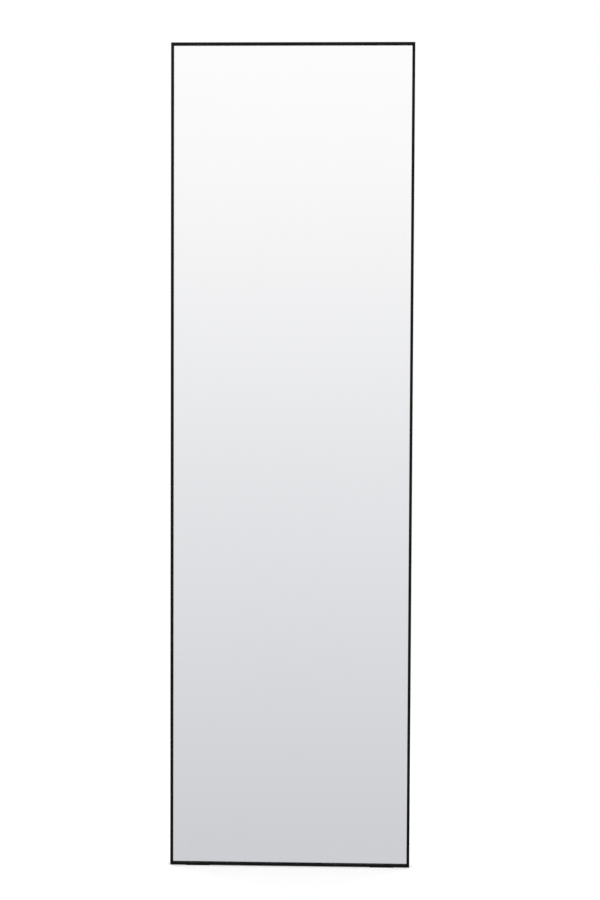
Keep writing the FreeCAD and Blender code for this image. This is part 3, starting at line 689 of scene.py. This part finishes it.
foot = {
    "sole": 1.5 * mm, "wall": 3 * mm, "heel": 2.5 * mm, "crown": 1.2 * mm, "edge": 0.4 * mm,
    "crease": 0.15 * mm, "groove": 0.9 * mm, "grooveDepth": 0.4 * mm, "soleGrooves": 6,
    "solePitch": 3.6 * mm, "heelGrooves": (3.6 * mm, 5.4 * mm, 14.2 * mm),
    "endRounding": 0.35 * mm, "endTaper": 0.35,  # how far the outline draws in, as a share of the rounding
    "endSteps": 3, "screwHole": 2.25 * mm, "screwHeight": 9 * mm, "holeCount": 48,
}


def footOutline(low, high, size):
    front, back, bottom, top = low.y, high.y, low.z, high.z
    edge, crease, deep, wide = size["edge"], size["crease"], size["grooveDepth"], size["groove"]
    corners = [(front, bottom, edge)]
    for number in range(size["soleGrooves"]):
        y = front + size["solePitch"] * (number + 1)
        corners += [(y, bottom, crease), (y, bottom + deep, crease),
                    (y + wide, bottom + deep, crease), (y + wide, bottom, crease)]
    corners.append((back, bottom, size["heel"]))
    for z in size["heelGrooves"]:
        corners += [(back, z, crease), (back - deep, z, crease),
                    (back - deep, z + wide, crease), (back, z + wide, crease)]
    corners += [(back, top, size["crown"]), (back - size["wall"], top, edge),
                (back - size["wall"], bottom + size["sole"], crease), (front, bottom + size["sole"], edge)]
    return roundedOutline(corners, steps=3)


def drill(piece, cutter):  # cuts a hole and keeps only the result
    cut = piece.modifiers.new("hole", "BOOLEAN")
    cut.object = cutter
    cut.solver = "EXACT"
    bpy.context.view_layer.update()
    view = bpy.context.evaluated_depsgraph_get()
    cutMesh = bpy.data.meshes.new_from_object(piece.evaluated_get(view))
    piece.modifiers.clear()
    piece.data = cutMesh
    bpy.data.objects.remove(cutter)


def floorFoot(node, size):
    low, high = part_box(node)
    outline = footOutline(low, high, size)
    rounding, endSteps = size["endRounding"], size["endSteps"]
    hole, holeCount = size["screwHole"], size["holeCount"]
    rings = []
    for x, way in ((low.x, 1), (high.x, -1)):
        end = []
        for step in range(endSteps + 1):
            angle = math.pi / 2 * step / endSteps
            smaller = shrunk(outline, rounding * size["endTaper"] * (1 - math.sin(angle)))
            inset = way * rounding * (1 - math.cos(angle))
            end.append([(x + inset, point.x, point.y) for point in smaller])
        rings += end if way > 0 else reversed(end)
    shape = bmesh.new()
    loft(shape, rings, Matrix.Identity(4))
    piece = plainPiece(node, "moulded", shape)
    bore = bmesh.new()
    place = fromBehind((low.x + high.x) / 2, high.y - 2 * size["wall"], low.z + size["screwHeight"])
    loft(bore, [ring(hole, 0, holeCount), ring(hole, 3 * size["wall"], holeCount)], place)
    drill(piece, addObject("bore", toMesh("bore", bore)))
    smooth(piece, sharpAngle=40)


for name in ("floor_foot_left", "floor_foot_right"):
    floorFoot(name, foot)
print("feet moulded")


# Rails, straps, plates, board and small rubber with their arrises eased

cornerNames = ("top_left", "top_right", "bottom_left", "bottom_right")
easedNodes = {  # width of the eased edge in mm, and its segments
    "upper_cross_rail": (0.2, 2), "lower_cross_rail": (0.2, 2),
    "hanger_strap_left": (0.2, 2), "hanger_strap_right": (0.2, 2),
    "slot_nuts": (0.2, 2), "spring_clips": (0.1, 1), "backing_board": (0.4, 2),
    "setting_block_left": (0.3, 2), "setting_block_right": (0.3, 2), "edge_spacers": (0.3, 2),
}
for corner in cornerNames:
    easedNodes[f"corner_plate_{corner}"] = (0.15, 2)
    easedNodes[f"corner_shim_{corner}"] = (0.1, 1)
for side in ("left", "right", "top", "bottom"):
    easedNodes[f"glazing_tape_{side}"] = (0.12, 2)
easedFrom = math.radians(28)  # edges that turn by less belong to a curve


def eased(node, width, segments):  # the node's own mesh with a rounded arris on every sharp edge
    piece = plainPiece(node, "eased", meshOf(node))
    for name in ("custom_normal", "sharp_edge", "sharp_face"):
        if name in piece.data.attributes:
            piece.data.attributes.remove(piece.data.attributes[name])
    piece.data.shade_smooth()
    bevel = piece.modifiers.new("eased edges", "BEVEL")
    bevel.width = width
    bevel.segments = segments
    bevel.angle_limit = easedFrom
    bevel.use_clamp_overlap = False
    bevel.harden_normals = True


for name, (width, segments) in easedNodes.items():
    eased(name, width * mm, segments)
print("rails, plates and board eased")


# Screws, nuts and washers, each turned where its plain node has it

hexSocket = {"mouth": 0.64, "mouthDepth": 0.07, "drillTip": 0.12, "drillDepth": 0.14}  # shares of its flats


def socketRings(top, depth, flats, count):
    hexagonal = hexagon(flats)
    mouthEnd = top - hexSocket["mouthDepth"] * flats
    drillEnd = top - depth - hexSocket["drillDepth"] * flats
    return [ring(flats * hexSocket["mouth"], top, count), ring(hexagonal, mouthEnd, count),
            ring(hexagonal, top - depth, count), ring(flats * hexSocket["drillTip"], drillEnd, count)]


panHead = {
    "radius": 4 * mm, "height": 2.6 * mm, "rim": 0.2 * mm, "rounding": 1.2 * mm,
    "flats": 2.5 * mm, "socket": 1.6 * mm,
    "shank": 2 * mm, "neck": 0.05 * mm, "tipLength": 0.25 * mm,
    "tip": 0.62, "shoulder": 0.8,  # shares of the shank's radius
    "threadStart": 0.35 * mm, "threadEnd": 0.9 * mm, "pitch": 0.7 * mm, "threadDepth": 0.38 * mm,
    "turn": 0.7,  # radians from screw to screw
    "count": 36,
}


def panScrews(node, size):
    shape = bmesh.new()
    count, head, shank, top, rim = size["count"], size["radius"], size["shank"], size["height"], size["rim"]
    for number, (low, high) in enumerate(separateSolids(node)):
        length = high.y - top - low.y
        rings = [ring(shank * size["tip"], -length, count),
                 ring(shank * size["shoulder"], -length + size["tipLength"], count)]
        rings += thread(shank, size["threadDepth"], size["pitch"],
                        -length + size["threadStart"], -size["threadEnd"], count)
        rings += [ring(shank, -size["neck"], count), ring(head - rim, 0, count)]
        rings += [ring(r, z, count) for r, z in arc(head, rim, head - size["rounding"], top, steps=7)]
        rings += socketRings(top, size["socket"], size["flats"], count)
        x, z = middleOf(low, high)
        loft(shape, rings, fromBehind(x, high.y - top, z, turn=number * size["turn"]))
    smooth(plainPiece(node, "turned", shape), sharpAngle=22)


for name in ("cross_rail_screws", "hanger_screws", "bumper_screws", "foot_screws"):
    panScrews(name, panHead)


setScrew = {
    "radius": 2.5 * mm, "flats": 2.5 * mm, "socket": 1.6 * mm,
    "cup": 1.25 * mm, "cupDepth": 0.5 * mm, "pointLength": 0.35 * mm,
    "cupFloor": 0.2,  # a share of the cup's radius
    "point": 0.78, "face": 0.86,  # shares of the screw's radius
    "threadStart": 0.5 * mm, "threadEnd": 0.35 * mm, "pitch": 0.8 * mm, "threadDepth": 0.42 * mm,
    "turn": 1.1,  # radians from screw to screw
    "count": 36,
}


def setScrews(node, size):
    shape = bmesh.new()
    count, radius, cup = size["count"], size["radius"], size["cup"]
    for number, (low, high) in enumerate(separateSolids(node)):
        length = high.y - low.y
        rings = [ring(cup * size["cupFloor"], size["cupDepth"], count), ring(cup, 0, count),
                 ring(radius * size["point"], size["pointLength"], count)]
        rings += thread(radius, size["threadDepth"], size["pitch"],
                        size["threadStart"], length - size["threadEnd"], count)
        rings.append(ring(radius * size["face"], length, count))
        rings += socketRings(length, size["socket"], size["flats"], count)
        x, z = middleOf(low, high)
        loft(shape, rings, fromBehind(x, low.y, z, turn=number * size["turn"]))
    smooth(plainPiece(node, "turned", shape), sharpAngle=32)


setScrews("corner_set_screws", setScrew)


hexNut = {"flats": 7 * mm, "bore": 2.05 * mm, "sink": 0.3 * mm, "chamfer": 0.35 * mm, "chamferSteps": 4,
          "faceCircle": 0.485, "cone": math.radians(60), "count": 48}  # faceCircle is a share of the flats


def hexNuts(node, size):
    shape = bmesh.new()
    count, flats, bore, sink = size["count"], size["flats"], size["bore"], size["sink"]
    full = hexagon(flats)
    depths = [size["chamfer"] * step / size["chamferSteps"] for step in range(size["chamferSteps"] + 1)]

    def turnedCorner(depth):  # the cone that takes the corners off
        reach = flats * size["faceCircle"] + depth * math.tan(size["cone"])
        return lambda angle: min(full(angle), reach)
    for low, high in separateSolids(node):
        height = high.y - low.y
        rings = [ring(bore, sink, count), ring(bore + sink, 0, count)]
        rings += [ring(turnedCorner(depth), depth, count) for depth in depths]
        rings += [ring(turnedCorner(depth), height - depth, count) for depth in reversed(depths)]
        rings += [ring(bore + sink, height, count), ring(bore, height - sink, count)]
        x, z = middleOf(low, high)
        loft(shape, rings, fromBehind(x, low.y, z), closed=True)
    smooth(plainPiece(node, "turned", shape), sharpAngle=24)


hexNuts("hanger_nuts", hexNut)


washer = {"bore": 2.25 * mm, "burr": 0.15 * mm, "count": 64}


def washers(node, size):
    shape = bmesh.new()
    bore, burr = size["bore"], size["burr"]
    for low, high in separateSolids(node):
        radius, thick = (high.x - low.x) / 2, high.y - low.y
        profile = [(bore, burr), (bore + burr, 0), (radius - burr, 0), (radius, burr)]
        profile += arc(radius, thick - burr, radius - burr, thick, steps=3)
        profile += [(bore + burr, thick), (bore, thick - burr)]
        x, z = middleOf(low, high)
        rings = [ring(reach, back, size["count"]) for reach, back in profile]
        loft(shape, rings, fromBehind(x, low.y, z), closed=True)
    smooth(plainPiece(node, "turned", shape), sharpAngle=35)


washers("screw_washers", washer)
print("screws, nuts and washers turned")


# Wall bumpers: tapered rubber studs with a screw pocket and two grip rings on the wall face

bumper = {
    "tip": 6.5 * mm, "bore": 2.25 * mm, "pocket": 4.6 * mm, "pocketDepth": 5 * mm, "pocketLip": 0.25 * mm,
    "rim": 0.6 * mm, "base": 0.35 * mm, "grip": 0.3 * mm,
    "bands": 5, "grooved": (1, 3), "grooveSlope": 0.25,  # the wall face's equal bands, and the sunk ones
    "count": 72,
}


def wallBumper(node, size):
    low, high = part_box(node)
    radius, height = (high.x - low.x) / 2, high.y - low.y
    tip, pocket, rim, base, lip = size["tip"], size["pocket"], size["rim"], size["base"], size["pocketLip"]
    sunk, slope = height - size["grip"], size["grooveSlope"]
    profile = [(size["bore"], 0), (radius - base, 0)]
    profile += arc(radius - base, 0, radius, base, steps=4, outward=False)[1:]
    profile += arc(tip, height - rim, tip - rim, height, steps=5)
    land = (tip - rim - pocket) / size["bands"]
    for band in size["grooved"]:
        outer = tip - rim - land * band
        profile += [(outer, height), (outer - land * slope, sunk),
                    (outer - land * (1 - slope), sunk), (outer - land, height)]
    profile += arc(pocket + lip, height, pocket, height - lip, steps=3, outward=False)
    profile += [(pocket, height - size["pocketDepth"]), (size["bore"], height - size["pocketDepth"])]
    shape = bmesh.new()
    x, z = middleOf(low, high)
    rings = [ring(reach, back, size["count"]) for reach, back in profile]
    loft(shape, rings, fromBehind(x, low.y, z), closed=True)
    smooth(plainPiece(node, "moulded", shape), sharpAngle=35)


for corner in cornerNames:
    wallBumper(f"wall_bumper_{corner}", bumper)
print("bumpers moulded")


# Floor, world and lamps

studioSetup = {
    "skyLight": 0.63,  # what the white surroundings give to matt surfaces
    "mirrored": [  # height of a mirrored direction, from -1 down to 1 up, and the grey found there
        (-1.0, (0.55, 0.555, 0.575)),
        (-0.290, (0.625, 0.635, 0.662)),
        (-0.060, (0.790, 0.799, 0.820)),
        (0.048, (0.886, 0.890, 0.904)),
        (0.152, (0.976, 0.970, 0.976)),
        (0.222, (1.0, 1.0, 1.0)),
        (1.0, (1.0, 1.0, 1.0)),
    ],
}


def addWorld(setup):
    world = bpy.data.worlds.new("studio")
    bpy.context.scene.world = world
    world.use_nodes = True
    tree = world.node_tree
    tree.nodes.clear()
    path = addNode(tree, "ShaderNodeLightPath")
    where = addNode(tree, "ShaderNodeTexCoord")
    height = addNode(tree, "ShaderNodeSeparateXYZ", {0: where.outputs["Generated"]}).outputs["Z"]
    greys = shades(tree, remap(tree, height, 0, 1, -1, 1),
                   [((z + 1) / 2, colour) for z, colour in setup["mirrored"]])
    seen = addNode(tree, "ShaderNodeBackground", {"Color": (1, 1, 1, 1), "Strength": 1})
    mirrored = addNode(tree, "ShaderNodeBackground", {"Color": greys, "Strength": 1})
    light = addNode(tree, "ShaderNodeBackground", {"Color": (1, 1, 1, 1), "Strength": setup["skyLight"]})
    shiny = larger(tree, path.outputs["Is Glossy Ray"], path.outputs["Is Transmission Ray"])
    inner = addNode(tree, "ShaderNodeMixShader", {0: shiny, 1: light.outputs[0], 2: mirrored.outputs[0]})
    outer = addNode(tree, "ShaderNodeMixShader", {0: path.outputs["Is Camera Ray"], 1: inner.outputs[0],
                                                  2: seen.outputs[0]})
    addNode(tree, "ShaderNodeOutputWorld", {"Surface": outer.outputs[0]})


floorSetup = {"radius": 9, "segments": 96, "colour": 0.80, "lift": 0.35, "plainFrom": 0.7, "whiteFrom": 2.2}


def addFloor(setup):
    disc = bmesh.new()
    bmesh.ops.create_circle(disc, cap_ends=True, segments=setup["segments"], radius=setup["radius"])
    floor = addObject("floor", toMesh("floor", disc))
    material = bpy.data.materials.new("pale floor")
    material.use_nodes = True
    tree = material.node_tree
    tree.nodes.clear()
    path = addNode(tree, "ShaderNodeLightPath")
    where = addNode(tree, "ShaderNodeTexCoord")
    reach = addNode(tree, "ShaderNodeVectorMath", {0: where.outputs["Object"]}, operation="LENGTH")
    away = remap(tree, reach.outputs["Value"], 0, 1, setup["plainFrom"], setup["whiteFrom"])
    matt = addNode(tree, "ShaderNodeBsdfDiffuse", {"Color": (*[setup["colour"]] * 3, 1)})
    lift = addNode(tree, "ShaderNodeEmission", {"Strength": setup["lift"]})
    lit = addNode(tree, "ShaderNodeAddShader", {0: matt.outputs[0], 1: lift.outputs[0]})
    white = addNode(tree, "ShaderNodeEmission", {"Strength": 1})
    faded = addNode(tree, "ShaderNodeMixShader", {0: away, 1: lit.outputs[0], 2: white.outputs[0]})
    seen = addNode(tree, "ShaderNodeMixShader", {0: path.outputs["Is Camera Ray"], 1: matt.outputs[0],
                                                 2: faded.outputs[0]})
    addNode(tree, "ShaderNodeOutputMaterial", {"Surface": seen.outputs[0]})
    floor.data.materials.append(material)
    floor.visible_glossy = False  # the mirror shows the studio's soft grey, with no floor line
    floor.visible_transmission = False


lampSetups = {
    "front left": {"place": (-2.2, -2.4, 3.4), "size": 1.8, "power": 49},
    "front right": {"place": (2.6, -2.0, 3.0), "size": 1.6, "power": 29},
    "back left": {"place": (-2.4, 2.4, 3.0), "size": 1.6, "power": 30},
    "back right": {"place": (2.0, 2.6, 3.4), "size": 1.8, "power": 45},
}


def addLamp(name, setup, target):
    data = bpy.data.lights.new(name, "AREA")
    data.shape = "SQUARE"
    data.size = setup["size"]
    data.energy = setup["power"]
    lamp = addObject(name, data)
    lamp.location = setup["place"]
    lamp.rotation_euler = (target - lamp.location).to_track_quat("-Z", "Y").to_euler()


addWorld(studioSetup)
addFloor(floorSetup)
middle = (Vector(cadBounds[0]) + Vector(cadBounds[1])) / 2
for name, setup in lampSetups.items():
    addLamp(name, setup, middle)
bpy.context.scene.view_settings.view_transform = "Standard"
print("studio built")
